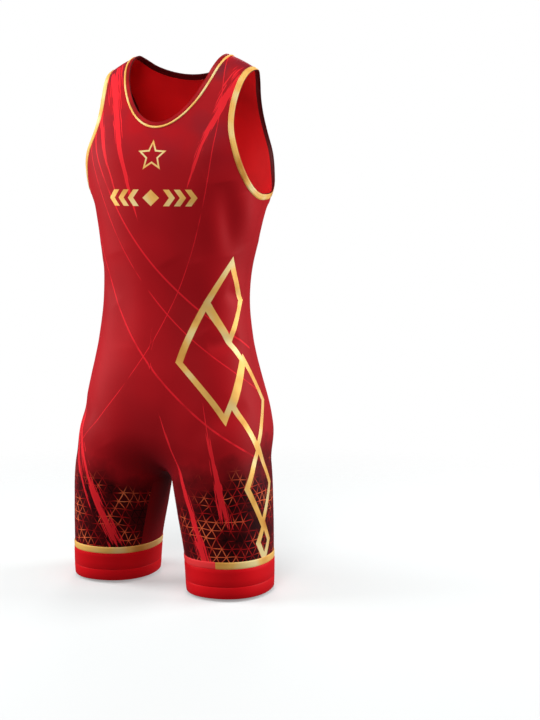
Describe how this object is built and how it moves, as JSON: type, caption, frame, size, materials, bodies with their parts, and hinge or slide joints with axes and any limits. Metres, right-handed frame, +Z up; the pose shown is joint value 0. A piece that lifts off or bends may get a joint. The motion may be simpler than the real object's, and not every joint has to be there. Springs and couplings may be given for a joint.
{
  "type": "wrestling singlet",
  "caption": "Sleeveless one-piece sports suit with a scoop neck, bound armholes and fitted thigh-length legs ending in wide cuffs, hollow and filled out as if worn.",
  "frame": {"origin": "Between the two neck points, under the shoulder straps, where the wearer's shoulders carry the garment.", "axes": "+Z up along the body, -Y out of the wearer's front, +X to the wearer's left."},
  "size_m": [0.3592, 0.2643, 0.8635],
  "materials": {
    "red_cloth": "smooth stretch knit with a satin sheen",
    "dark_red_cloth": "smooth stretch knit with a satin sheen",
    "maroon_binding": "folded stretch binding",
    "gold_trim": "folded stretch binding with a soft sheen",
    "red_cuff": "double stretch knit with a satin sheen"
  },
  "bodies": {
    "root": {"front_panel": "red_cloth", "back_panel": "red_cloth", "crotch_gusset": "dark_red_cloth", "neck_binding": "maroon_binding", "neck_piping": "gold_trim", "armhole_binding_left": "gold_trim", "armhole_binding_right": "gold_trim", "cuff_stripe_left": "gold_trim", "cuff_stripe_right": "gold_trim", "cuff_left": "red_cuff", "cuff_right": "red_cuff"}
  },
  "joints": []
}
